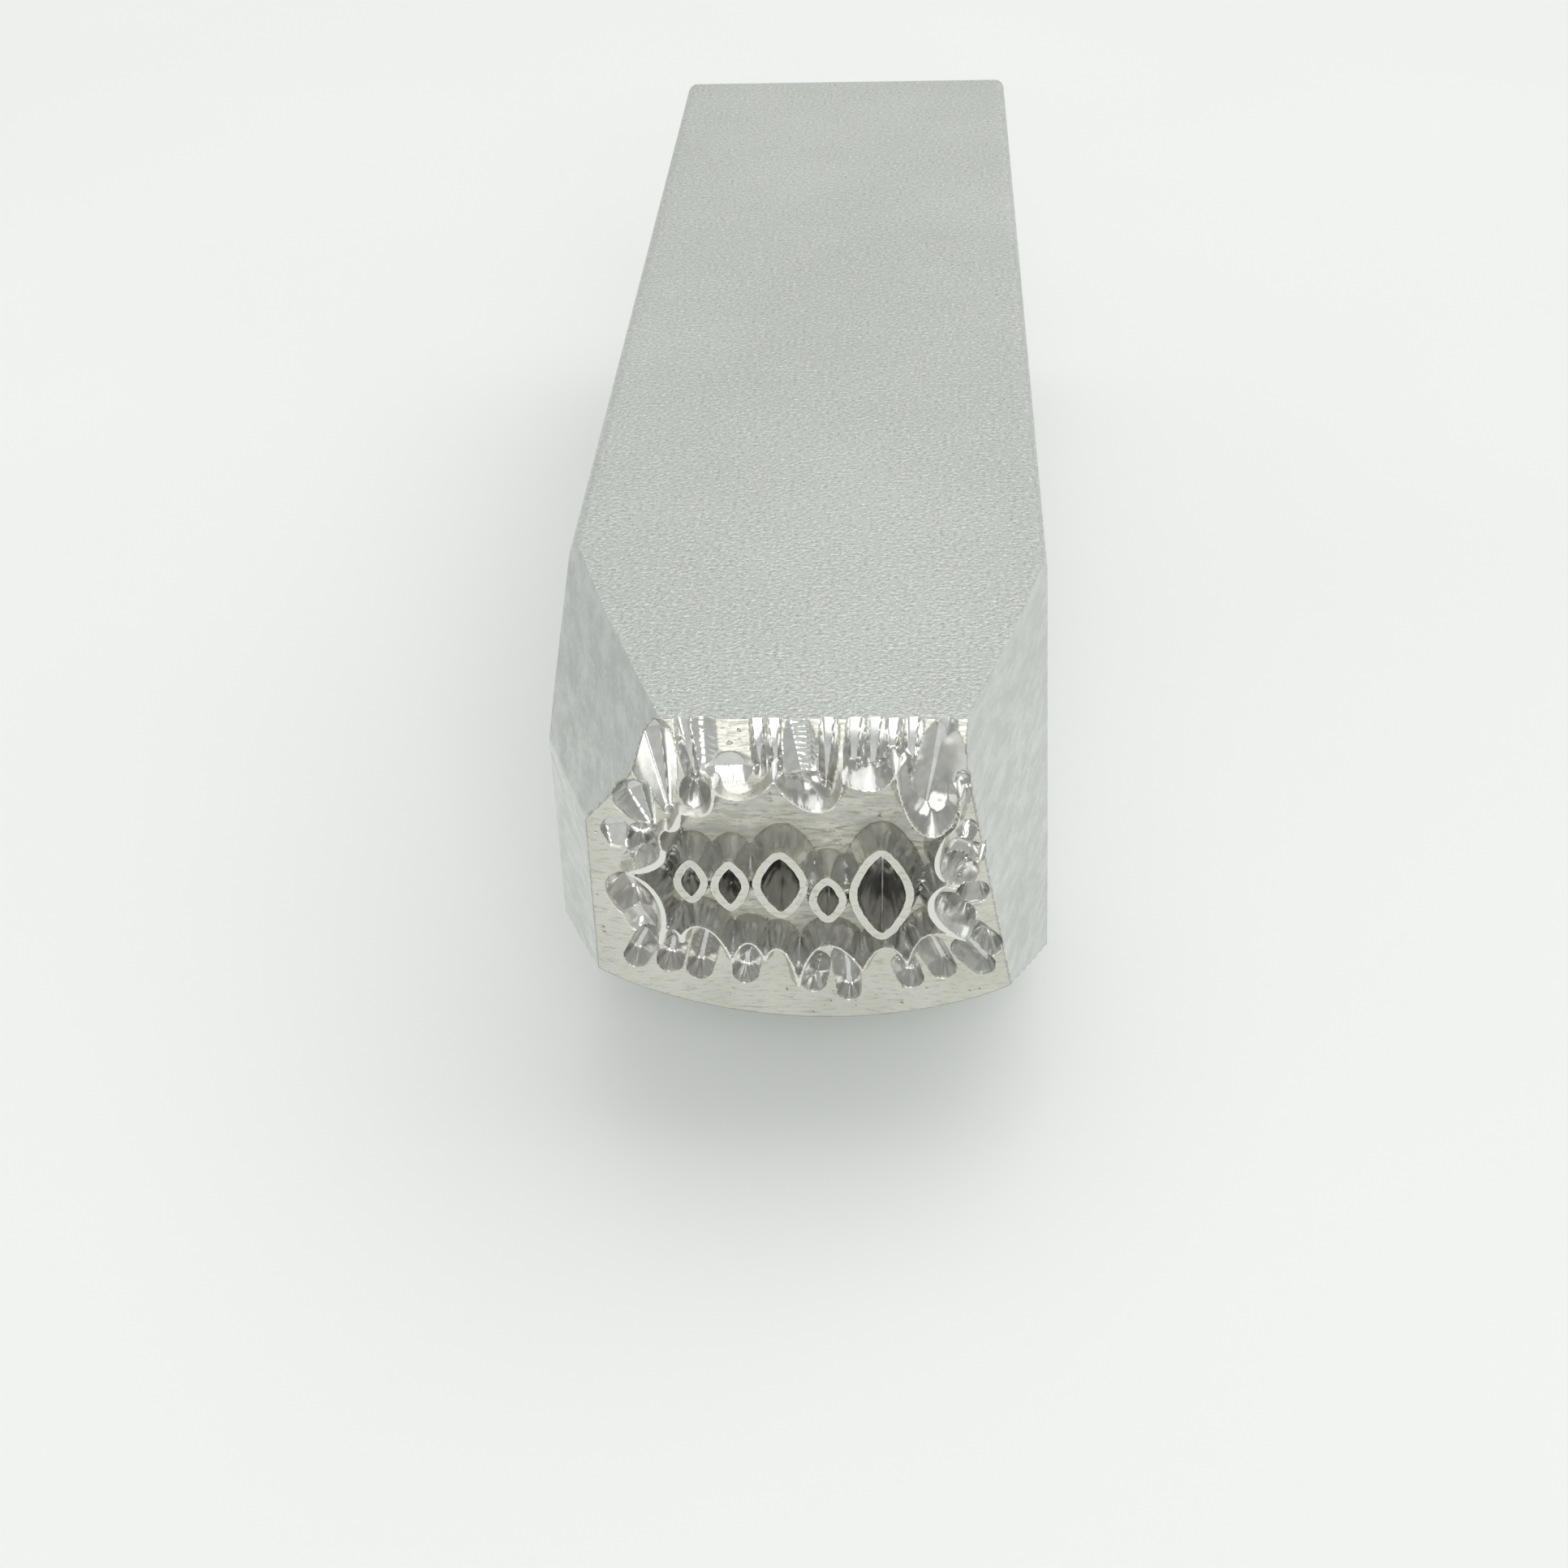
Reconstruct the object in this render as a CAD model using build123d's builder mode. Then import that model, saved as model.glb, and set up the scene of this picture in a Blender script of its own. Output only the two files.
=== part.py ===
"""Hand stamp for leather: one square bar of hardened tool steel, worked at one end.

The bar lies on one of its long sides. +Z is up, the stamping face looks along -Y and
the struck end along +Y. The origin is at the middle of the resting side. Millimetres.
"""
from build123d import *
import os

# Stock
BAR = 12.7                      # half inch square bar
LENGTH = 50.8                   # two inches from stamping face to struck end
EDGE_RADIUS = 0.35              # drawn corners of the bar
STRUCK_CHAMFER = 0.8            # bevel round the end that the mallet hits

# Working end
FACE = -LENGTH / 2              # plane of everything that prints
HALF = BAR / 2
RIM_DROP = 0.5                  # the outline of the face lies this far behind the print plane
TOP_DROP = 0.8                  # and this far along its top edge
LEDGE = 0.22                    # depth of the ledge just outside the frame

# Outline of the ground face, in x and z
TOP_LEFT = -3.05
TOP_RIGHT = 4.1
LEFT = -5.0
LEFT_SHOULDER = 10.15           # height at which the corner bevel meets the left side
RIGHT_FOOT = (5.28, 5.0)
BELLY = [(-7.2, 7.35), (1.0, 4.15), (7.2, 6.3)]   # three points of the convex bottom edge

# How far behind the print plane each ground facet runs out into the bar
LEFT_RUN = 4.2
CORNER_RUN = 10.0
RIGHT_RUN = 8.5
BELLY_RUN = 8.0

# Level ledge round the frame; the apron slopes away beyond it
LEDGE_LEFT = -3.6
LEDGE_RIGHT = 4.0
LEDGE_TOP = 10.9
LEDGE_FOOT = 6.2
RIM_RIGHT = 4.9                 # where the right apron reaches the depth of the outline

# Engraving
CUT_DEPTH = 0.9                 # floor of the field behind the print plane
CUT_ANGLE = 15                  # half angle of the engraving cutter
RIDGE = 0.1                     # width of the frame's crest
BAY_FACETS = 8                  # flats along each bay of the frame
FLUTE_WIDTH = 0.60
STROKE = 0.19                   # crest width of the lozenges
HOLE_DEPTH = 0.5                # depth of the hollow inside each lozenge
ROOT = 0.3                      # how far raised detail runs on into the solid bar

# Frame, bay by bay, in x and z: the point where the bay starts and the two handles of its curve
FRAME = [
    ((-3.34, 6.80), (-3.18, 7.30), (-2.98, 7.42)),
    ((-2.80, 6.90), (-2.70, 7.50), (-2.00, 7.60)),
    ((-1.58, 6.24), (-1.38, 6.98), (-1.02, 7.02)),
    ((-0.78, 6.30), (-0.60, 6.82), (-0.20, 6.90)),
    ((0.03, 5.52), (0.30, 7.00), (1.00, 7.15)),
    ((1.62, 5.98), (1.95, 6.88), (2.42, 6.98)),
    ((2.72, 6.14), (2.90, 7.15), (3.35, 7.35)),
    ((4.14, 6.92), (3.42, 7.20), (2.86, 8.10)),
    ((3.72, 8.62), (3.28, 8.85), (3.42, 9.45)),
    ((3.62, 9.98), (3.88, 10.10), (4.02, 10.50)),
    ((3.97, 11.05), (3.80, 9.55), (2.70, 9.40)),
    ((2.46, 11.75), (2.30, 11.25), (1.80, 11.05)),
    ((1.22, 11.50), (1.15, 10.25), (0.10, 10.50)),
    ((-0.42, 11.52), (-0.75, 10.95), (-1.55, 10.80)),
    ((-1.84, 11.30), (-1.86, 10.45), (-2.10, 10.52)),
    ((-2.66, 10.62), (-2.62, 10.10), (-3.30, 10.00)),
    ((-3.12, 9.50), (-3.12, 9.10), (-3.60, 8.95)),
    ((-4.05, 8.90), (-3.42, 8.62), (-2.98, 7.85)),
]

# Flutes outside the frame, in x and z: centre of the inner end and of the outer end
FLUTES = [
    ((-3.66, 6.80), (-4.02, 6.14)),
    ((-3.04, 6.62), (-3.16, 6.02)),
    ((-2.22, 6.72), (-2.44, 5.78)),
    ((-1.20, 6.34), (-1.30, 5.64)),
    ((0.48, 6.04), (0.40, 5.34)),
    ((1.18, 6.24), (1.26, 5.04)),
    ((2.64, 5.98), (2.80, 5.50)),
    ((3.28, 6.52), (3.60, 5.84)),
    ((4.12, 6.50), (4.66, 5.84)),
    ((3.16, 10.50), (3.60, 12.90)),
    ((2.76, 11.16), (2.90, 12.90)),
    ((1.80, 11.36), (1.98, 12.90)),
    ((1.40, 11.44), (1.52, 12.90)),
    ((0.82, 11.34), (0.90, 12.90)),
    ((-0.34, 11.76), (-0.38, 12.90)),
    ((-2.50, 11.30), (-2.72, 12.90)),
    ((-4.18, 9.56), (-4.28, 9.86)),
    ((-3.54, 10.30), (-3.82, 10.90)),
    ((-3.08, 10.90), (-3.36, 12.20)),
    ((-2.10, 11.55), (-2.02, 12.90)),
    ((0.22, 11.05), (0.16, 12.90)),
    ((-4.12, 8.16), (-4.00, 7.92)),
    ((4.00, 8.86), (4.08, 8.76)),
    ((3.90, 7.68), (4.06, 7.44)),
]

# Lozenges: centre x, centre z, half width, half height
LOZENGES = [
    (-2.50, 8.66, 0.42, 0.64),
    (-1.56, 8.52, 0.47, 0.72),
    (-0.34, 8.56, 0.67, 0.97),
    (0.80, 8.12, 0.46, 0.67),
    (2.10, 8.27, 0.78, 1.32),
]
LOZENGE_SWELL = 0.14            # how far each side bows outward, as a share of its length


def behind(distance, x=0, z=0):
    """Plane parallel to the stamping face, that far behind it, looking into the bar.

    Its origin is at x and z. Its own x is the bar's x, and its own y is the bar's -z.
    """
    return Plane(origin=(x, FACE + distance, z), x_dir=(1, 0, 0), z_dir=(0, 1, 0))


def local(point):
    """A point of the face given as x and z, in the coordinates of behind()."""
    return (point[0], -point[1])


def spot(x, drop, z):
    """A point of the bar, with its second coordinate counted from the print plane."""
    return (x, FACE + drop, z)


def ground(a, b, c):
    """Keep what lies on the inner side of the plane through three points."""
    plane = Plane(origin=a, x_dir=Vector(*b) - Vector(*a), z_dir=normal(a, b, c))
    split(bisect_by=plane, keep=Keep.BOTTOM)


def normal(a, b, c):
    """Unit normal of the plane through three points, pointing away from the bar's middle."""
    across = (Vector(*b) - Vector(*a)).cross(Vector(*c) - Vector(*a)).normalized()
    outward = Vector(*a) - Vector(0, 0, HALF)
    return across if across.dot(outward) > 0 else across * -1


def draw_frame():
    """Middle line of the frame, closed and wavy: one faceted curve for each bay."""
    for index, (start, first, second) in enumerate(FRAME):
        end = FRAME[(index + 1) % len(FRAME)][0]
        bay = Bezier(*[local(point) for point in (start, first, second, end)], mode=Mode.PRIVATE)
        Polyline([bay @ (step / BAY_FACETS) for step in range(BAY_FACETS + 1)])


def draw_lozenge(half_width, half_height):
    """Four-pointed outline with sides that bow a little outward."""
    corners = [(half_width, 0), (0, half_height), (-half_width, 0), (0, -half_height)]
    for index, start in enumerate(corners):
        end = corners[(index + 1) % 4]
        reach = 0.5 + LOZENGE_SWELL
        middle = ((start[0] + end[0]) * reach, (start[1] + end[1]) * reach)
        ThreePointArc(start, middle, end)


with BuildPart() as stamp:
    # Square bar, with its long corners rounded and its struck end bevelled
    with BuildSketch(behind(LEDGE)):
        with Locations((0, -HALF)):
            Rectangle(BAR, BAR)
    extrude(amount=LENGTH - LEDGE)
    chamfer(stamp.faces().sort_by(Axis.Y)[-1].edges(), STRUCK_CHAMFER)
    fillet(stamp.edges().filter_by(lambda edge: abs(edge.tangent_at(0.5).Y) > 0.5), EDGE_RADIUS)

    # Convex bottom, ground obliquely so that it lifts the face off the table
    with BuildSketch(behind(-BELLY_RUN)):
        rise = BELLY[1][1] * (BELLY_RUN + RIM_DROP) / BELLY_RUN
        with BuildLine():
            ThreePointArc(*[(x, -(z + rise)) for x, z in BELLY])
            Polyline(
                (BELLY[2][0], -(BELLY[2][1] + rise)),
                (BELLY[2][0], BAR),
                (BELLY[0][0], BAR),
                (BELLY[0][0], -(BELLY[0][1] + rise)),
            )
        make_face()
    extrude(dir=(0, BELLY_RUN, -BELLY[1][1]), amount=4 * BELLY_RUN, mode=Mode.SUBTRACT)

    # Ground facets behind the face: left side, upper left corner and right side
    ground(spot(LEFT, RIM_DROP, HALF), spot(LEFT, RIM_DROP, BAR), spot(-HALF, LEFT_RUN, HALF))
    ground(
        spot(TOP_LEFT, TOP_DROP, BAR),
        spot(LEFT, RIM_DROP, LEFT_SHOULDER),
        spot(-HALF, CORNER_RUN, BAR),
    )
    ground(
        spot(TOP_RIGHT, TOP_DROP, BAR),
        spot(RIGHT_FOOT[0], RIM_DROP, RIGHT_FOOT[1]),
        spot(HALF, RIGHT_RUN, BAR),
    )

    # Sloping apron between the ledge round the frame and the outline of the face
    ground(spot(0, LEDGE, LEDGE_TOP), spot(1, LEDGE, LEDGE_TOP), spot(0, TOP_DROP, BAR))
    ground(spot(0, LEDGE, LEDGE_FOOT), spot(1, LEDGE, LEDGE_FOOT), spot(0, RIM_DROP, BELLY[1][1]))
    ground(spot(LEDGE_LEFT, LEDGE, 0), spot(LEDGE_LEFT, LEDGE, 1), spot(LEFT, RIM_DROP, 0))
    ground(spot(LEDGE_RIGHT, LEDGE, 0), spot(LEDGE_RIGHT, LEDGE, 1), spot(RIM_RIGHT, RIM_DROP, 0))

    # Flutes, each a short slot with the walls of the engraving cutter
    for inner, outer in FLUTES:
        run = Vector(*local(outer)) - Vector(*local(inner))
        slot = Plane(origin=(inner[0], FACE, inner[1]), x_dir=(run.X, 0, -run.Y), z_dir=(0, 1, 0))
        with BuildSketch(slot):
            with Locations((run.length / 2, 0)):
                SlotCenterToCenter(run.length, FLUTE_WIDTH)
        extrude(amount=CUT_DEPTH, taper=CUT_ANGLE, mode=Mode.SUBTRACT)

    # Frame: a thin wavy wall that stands up to the print plane
    with BuildSketch(behind(0)):
        with BuildLine():
            draw_frame()
        make_face()
        offset(amount=RIDGE / 2, kind=Kind.ARC)
    extrude(amount=CUT_DEPTH + ROOT)

    # Field inside the frame
    with BuildSketch(behind(0)):
        with BuildLine():
            draw_frame()
        make_face()
        offset(amount=-RIDGE / 2, kind=Kind.INTERSECTION)
    extrude(amount=CUT_DEPTH, mode=Mode.SUBTRACT)

    # Lozenges: drafted islands on the floor of the field, hollowed to leave a narrow crest
    for x, z, half_width, half_height in LOZENGES:
        with BuildSketch(behind(0, x, z)):
            with BuildLine():
                draw_lozenge(half_width, half_height)
            make_face()
        extrude(amount=CUT_DEPTH + ROOT, taper=-CUT_ANGLE)
        with BuildSketch(behind(0, x, z)):
            with BuildLine():
                draw_lozenge(half_width, half_height)
            make_face()
            offset(amount=-STROKE, kind=Kind.INTERSECTION)
        extrude(amount=HOLE_DEPTH, taper=CUT_ANGLE, mode=Mode.SUBTRACT)

stamp.part.label = "stamp"
os.makedirs("parts", exist_ok=True)
export_step(stamp.part, "parts/stamp.step")
print("volume mm3", round(stamp.part.volume, 1), "solids", len(stamp.part.solids()))
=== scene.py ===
import math

import bmesh
import bpy
import numpy as np
from mathutils import Matrix, Vector


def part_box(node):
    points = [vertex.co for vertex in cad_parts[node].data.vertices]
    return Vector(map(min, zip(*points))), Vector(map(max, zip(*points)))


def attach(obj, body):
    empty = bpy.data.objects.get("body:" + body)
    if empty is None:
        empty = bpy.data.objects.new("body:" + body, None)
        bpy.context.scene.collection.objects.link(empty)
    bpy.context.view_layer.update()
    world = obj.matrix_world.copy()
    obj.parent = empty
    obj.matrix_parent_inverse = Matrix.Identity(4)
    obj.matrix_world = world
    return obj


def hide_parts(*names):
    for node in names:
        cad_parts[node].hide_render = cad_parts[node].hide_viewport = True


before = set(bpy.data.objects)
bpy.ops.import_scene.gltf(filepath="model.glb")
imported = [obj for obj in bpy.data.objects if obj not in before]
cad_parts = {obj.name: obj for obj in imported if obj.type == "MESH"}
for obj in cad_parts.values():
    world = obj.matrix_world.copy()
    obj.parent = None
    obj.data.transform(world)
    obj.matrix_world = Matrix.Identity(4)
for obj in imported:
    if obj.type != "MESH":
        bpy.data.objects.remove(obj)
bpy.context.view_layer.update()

# Sizes are in millimetres until the mesh is written, in the frame of the CAD model.
MM = 0.001
PER_METRE = 1000
LOW = [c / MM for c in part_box("stamp")[0]]
HIGH = [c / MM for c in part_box("stamp")[1]]
BAR = HIGH[0] - LOW[0]
FACE = LOW[1]                   # plane of everything that prints
STRUCK = HIGH[1]                # end that the mallet hits
HALF = BAR / 2
EDGE_RADIUS = 0.35
STRUCK_CHAMFER = 0.8

# Engraving cutter and the depths it works at, counted from the print plane
CUT_DEPTH = 0.9
CUT_SLOPE = math.tan(math.radians(16))
OUTER_SLOPE = math.tan(math.radians(25))
HOLE_SLOPE = math.tan(math.radians(17))
HOLE_DEPTH = 2.0
# Flutes: tip radius, depth and half angle in degrees, each at the inner and at the outer end
SHUT = ((0.055, 0.07), (0.92, 0.86), (25, 26))
OPEN = ((0.03, 0.14), (0.62, 1.12), (20, 42))

# Apron: depth next to the frame and at the outline, where it starts to fall on each side and
# over what distance, and how it curves over at the top
LEDGE = 0.26
RIM_DROP = 0.5
FALL_LEFT = (-3.6, 1.4)
FALL_RIGHT = (4.0, 0.9)
FALL_FOOT = (6.2, 2.05)
TOP_START = 11.25
TOP_CURVE = 0.30

# Patch at the upper left that was left high: its middle and half width in x, its lower edge,
# where its slope starts, the depth there, its slope, and how steeply it ends at its sides
PATCH_X = -1.44
PATCH_HALF = 0.42
PATCH_LOW = 10.7
PATCH_START = 10.98
PATCH_DEPTH = 0.08
PATCH_SLOPE = 0.61
PATCH_SIDES = 3

# Step-over marks of the facing cut: pitch, depth of all, and more near the top
MARK_PITCH = 0.13
MARK_DEPTH = 0.008
MARK_DEPTH_TOP = 0.016

# Ground facets, each through three points given as x, depth and z
LEFT_FACET = ((-5.0, 0.5, 6.35), (-5.0, 0.5, 12.7), (-6.35, 4.2, 6.35))
CORNER_FACET = ((-3.05, 0.8, 12.7), (-5.0, 0.5, 10.15), (-6.35, 10.0, 12.7))
RIGHT_FACET = ((4.1, 0.8, 12.7), (5.28, 0.5, 5.0), (6.35, 8.5, 12.7))
# Bottom facet: an arc through three points, given as x and z, drawn back and down
BELLY_ARC = ((-7.2, 7.35), (1.0, 4.15), (7.2, 6.3))
BELLY_BACK = 8.0
BELLY_DOWN = 4.15
# Where a facet starts to curl over into the bar, and how much
CORNER_CURL = (6.0, 0.16)
RIGHT_CURL = (5.0, 0.20)
BELLY_CURL = (4.5, 0.14)

# Rings of points round the bar: how far the first is behind the face, the others' places in y,
# and those of the bevel as inset and distance from the struck end
RUN_OUT = 15.0
STATIONS = [-6.0, -1.0, 4.0, 9.0, 14.0, 19.0, 22.5, STRUCK - STRUCK_CHAMFER - 0.12]
BEVEL = [
    (0.012, STRUCK_CHAMFER - 0.02),
    (0.10, STRUCK_CHAMFER - 0.14),
    (STRUCK_CHAMFER - 0.12, 0.10),
    (STRUCK_CHAMFER - 0.04, 0.035),
    (STRUCK_CHAMFER + 0.06, 0.0),
]

# How far each finish of the cut steel fades: at the walls, the thin crests, the edges that are
# worn bright and given a painted highlight with their share of it, the outline with its painted
# shade line, and the depth at which the field gets its full painted shade
WALL_REACH = 0.04
CREST_REACH = 0.012
EDGE_WEAR_AND_HIGHLIGHT_REACH = 0.02
EDGE_WEAR_AND_HIGHLIGHT = 0.55
OUTLINE_REACH = 0.07
SUNK_DEPTH = 0.4

# Material slots of the mesh, in order
CUT, GROUND, BLASTED, STRUCK_END = range(4)
FAR = 99.0                      # farther than any point of the face

# Grid of the working end: spacing where the engraving is, and elsewhere
FINE = 0.036
COARSE = 0.17
FINE_X = (-5.12, 5.36)
FINE_Z = (4.05, BAR)
SNAP_SHARE = 0.48               # how far a point may be pulled, as a share of the spacing
SHARP_ANGLE = 38                # creases sharper than this, in degrees, stay crisp

# Frame, bay by bay, in x and z: where the bay starts, the two handles of its curve, and half the
# width of its crest at the start, in the middle and at the end
FRAME = [
    ((-3.34, 6.80), (-3.18, 7.30), (-2.98, 7.42), (0.04, 0.012, 0.06)),
    ((-2.80, 6.90), (-2.70, 7.50), (-2.00, 7.60), (0.08, 0.016, 0.03)),
    ((-1.58, 6.24), (-1.38, 6.98), (-1.02, 7.02), (0.03, 0.014, 0.035)),
    ((-0.78, 6.30), (-0.60, 6.82), (-0.20, 6.90), (0.035, 0.018, 0.04)),
    ((0.03, 5.52), (0.30, 7.00), (1.00, 7.15), (0.04, 0.016, 0.02)),
    ((1.62, 5.98), (1.95, 6.88), (2.42, 6.98), (0.02, 0.014, 0.02)),
    ((2.72, 6.14), (2.90, 7.15), (3.35, 7.35), (0.02, 0.014, 0.03)),
    ((4.14, 6.92), (3.42, 7.20), (2.86, 8.10), (0.02, 0.085, 0.008)),
    ((3.72, 8.62), (3.28, 8.85), (3.42, 9.45), (0.008, 0.060, 0.012)),
    ((3.62, 9.98), (3.88, 10.10), (4.02, 10.50), (0.012, 0.014, 0.014)),
    ((3.97, 11.05), (3.80, 9.55), (2.70, 9.40), (0.010, 0.014, 0.030)),
    ((2.46, 11.75), (2.30, 11.25), (1.80, 11.05), (0.030, 0.008, 0.012)),
    ((1.22, 11.50), (1.15, 10.25), (0.10, 10.50), (0.012, 0.018, 0.012)),
    ((-0.42, 11.52), (-0.75, 10.95), (-1.55, 10.80), (0.012, 0.010, 0.04)),
    ((-1.84, 11.30), (-1.86, 10.45), (-2.10, 10.52), (0.045, 0.035, 0.012)),
    ((-2.66, 10.62), (-2.76, 10.30), (-2.72, 10.20), (0.03, 0.085, 0.02)),
    ((-2.98, 10.12), (-3.10, 10.26), (-3.30, 9.90), (0.010, 0.020, 0.03)),
    ((-3.12, 9.50), (-3.12, 9.10), (-3.60, 8.95), (0.08, 0.085, 0.010)),
    ((-4.05, 8.90), (-3.42, 8.62), (-2.98, 7.85), (0.010, 0.055, 0.10)),
]
BAY_STEPS = 14

# Lozenges: centre x, centre z, half width, half height; a crest of even width round a hollow
LOZENGES = [
    (-2.50, 8.66, 0.42, 0.64),
    (-1.56, 8.52, 0.47, 0.72),
    (-0.34, 8.56, 0.67, 0.97),
    (0.80, 8.12, 0.46, 0.67),
    (2.10, 8.27, 0.78, 1.32),
]
LOZENGE_SWELL = 0.14
LOZENGE_STEPS = 8
STROKE = 0.19

# Flutes outside the frame, cut with the tip of the cutter: inner end and outer end
FLUTES = [
    ((-3.66, 6.80), (-4.02, 6.14)),
    ((-3.04, 6.62), (-3.16, 6.02)),
    ((-2.22, 6.72), (-2.44, 5.78)),
    ((-1.20, 6.34), (-1.30, 5.64)),
    ((0.48, 6.04), (0.40, 5.34)),
    ((1.18, 6.24), (1.26, 5.04)),
    ((2.64, 5.98), (2.80, 5.50)),
    ((3.28, 6.52), (3.60, 5.84)),
    ((4.12, 6.50), (4.66, 5.84)),
    ((-2.32, 11.02), (-2.28, 11.22)),
]

# Flutes that run out through the top side: inner end and outer end
OPEN_FLUTES = [
    ((3.18, 10.60), (3.66, 12.90)),
    ((2.74, 11.10), (2.90, 12.90)),
    ((2.34, 11.70), (2.44, 12.90)),
    ((1.84, 11.00), (2.02, 12.90)),
    ((1.42, 11.16), (1.54, 12.90)),
    ((0.80, 11.20), (0.90, 12.90)),
    ((-0.36, 11.60), (-0.42, 12.90)),
    ((-0.74, 11.64), (-0.82, 12.90)),
    ((-2.30, 11.40), (-2.58, 12.90)),
]

# Cuts that dive evenly: start, end, tip radii, depths and half angles at both ends, and the
# height of the cutter's ripples in them
RAMPS = [
    ((-1.44, 10.98), (-1.46, 11.70), (0.42, 0.34), (0.08, 0.52), (14, 62), 0.007),
    ((3.14, 10.30), (3.60, 12.90), (0.03, 0.06), (0.78, 1.00), (50, 54), 0.0),
    ((-4.22, 9.40), (-4.30, 9.92), (0.20, 0.26), (0.38, 0.68), (18, 18), 0.0),
    ((-3.42, 10.10), (-3.80, 10.86), (0.04, 0.18), (0.50, 0.86), (34, 34), 0.0),
    ((-2.98, 10.62), (-3.34, 12.40), (0.02, 0.20), (0.46, 1.14), (36, 40), 0.0),
    ((0.36, 11.40), (0.14, 12.90), (0.10, 0.22), (0.46, 1.02), (50, 55), 0.014),
    ((4.08, 9.36), (4.16, 9.98), (0.01, 0.05), (0.40, 0.76), (24, 30), 0.0),
    ((4.46, 8.96), (4.54, 9.34), (0.01, 0.07), (0.42, 0.68), (24, 30), 0.0),
]

# Shallow bowls that melt into the apron: two ends, radius and depth below the apron
BOWLS = [
    ((0.02, 11.02), (0.34, 11.16), 0.62, 0.42),
    ((-2.04, 11.90), (-2.10, 12.60), 0.34, 0.16),
    ((1.58, 11.40), (2.06, 11.56), 0.46, 0.42),
    ((3.86, 10.70), (3.98, 11.40), 0.34, 0.26),
    ((-4.12, 8.16), (-4.00, 7.92), 0.56, 0.74),
    ((-3.90, 7.60), (-3.78, 7.30), 0.42, 0.30),
    ((-3.74, 9.58), (-3.68, 9.84), 0.34, 0.66),
    ((-3.66, 9.24), (-3.42, 9.34), 0.32, 0.34),
    ((3.88, 8.86), (3.96, 8.76), 0.50, 0.80),
    ((4.20, 8.12), (4.40, 8.12), 0.32, 0.56),
    ((3.68, 7.74), (3.96, 7.44), 0.46, 0.84),
    ((4.28, 6.94), (4.70, 6.46), 0.38, 0.66),
    ((3.96, 9.42), (4.20, 9.30), 0.36, 0.46),
]
RIPPLE_PITCH = 0.125            # of the ripples in the ramps


# ---------------------------------------------------------------- geometry of the cuts

def smooth_noise(x, z, scale, seed):
    """Even noise between -1 and 1 that changes over a distance of scale."""
    lattice = np.random.default_rng(seed).uniform(-1, 1, (64, 64))
    u, v = x / scale, z / scale
    i, j = np.floor(u).astype(int), np.floor(v).astype(int)
    fu, fv = u - i, v - j
    fu, fv = fu * fu * (3 - 2 * fu), fv * fv * (3 - 2 * fv)
    corner = [lattice[(i + a) % 64, (j + b) % 64] for a in (0, 1) for b in (0, 1)]
    return (corner[0] * (1 - fu) + corner[2] * fu) * (1 - fv) + (
        corner[1] * (1 - fu) + corner[3] * fu
    ) * fv


def smooth_max(a, b, reach):
    """The larger of two fields, with the corner between them rounded over reach."""
    h = np.clip(0.5 + (a - b) / (2 * reach), 0, 1)
    return b + (a - b) * h + reach * h * (1 - h)


def to_segment(x, z, start, end, width_start=0.0, width_end=0.0):
    """Distance to a segment, less a half width that changes evenly along it."""
    dx, dz = end[0] - start[0], end[1] - start[1]
    t = ((x - start[0]) * dx + (z - start[1]) * dz) / (dx * dx + dz * dz)
    t = np.clip(t, 0, 1)
    reach = np.hypot(x - start[0] - t * dx, z - start[1] - t * dz)
    return reach - width_start - (width_end - width_start) * t


def cone_cut(x, z, start, end, tips, depths, angles, power=2):
    """Depth of a groove cut by a cone: its tip radius, depth and half angle at both ends.

    With a power above 1 the depth changes slowly at first and then faster.
    """
    dx, dz = end[0] - start[0], end[1] - start[1]
    t = np.clip(((x - start[0]) * dx + (z - start[1]) * dz) / (dx * dx + dz * dz), 0, 1)
    reach = np.hypot(x - start[0] - t * dx, z - start[1] - t * dz)
    tip = tips[0] + (tips[1] - tips[0]) * t
    slope = np.tan(np.radians(angles[0] + (angles[1] - angles[0]) * t))
    depth = depths[0] + (depths[1] - depths[0]) * t ** power
    return depth - np.maximum(reach - tip, 0) / slope


def bowl_cut(x, z, start, end, radius, depth):
    """Depth of a hollow with a soft rim, deepest along the line from start to end."""
    reach = np.clip(to_segment(x, z, start, end) / radius, 0, 1)
    return depth * (1 - reach ** 2) ** 1.6


def inside(x, z, outline):
    """True where a point lies within a closed outline."""
    found = np.zeros(x.shape, bool)
    for (ax, az), (bx, bz) in zip(outline, outline[1:] + outline[:1]):
        if az == bz:
            continue
        crosses = (az > z) != (bz > z)
        found ^= crosses & (x < (bx - ax) * (z - az) / (bz - az) + ax)
    return found


def frame_line():
    """Points of the frame's middle line, each with half the width of the crest there."""
    points = []
    for index, (start, first, second, widths) in enumerate(FRAME):
        end = FRAME[(index + 1) % len(FRAME)][0]
        for step in range(BAY_STEPS):
            t = step / BAY_STEPS
            weights = ((1 - t) ** 3, 3 * t * (1 - t) ** 2, 3 * t * t * (1 - t), t ** 3)
            x, z = (
                sum(w * p[axis] for w, p in zip(weights, (start, first, second, end)))
                for axis in (0, 1)
            )
            middle = 4 * t * (1 - t)
            half = widths[1] * middle + (1 - middle) * (widths[0] * (1 - t) + widths[2] * t)
            points.append((x, z, half))
    return points


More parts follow.
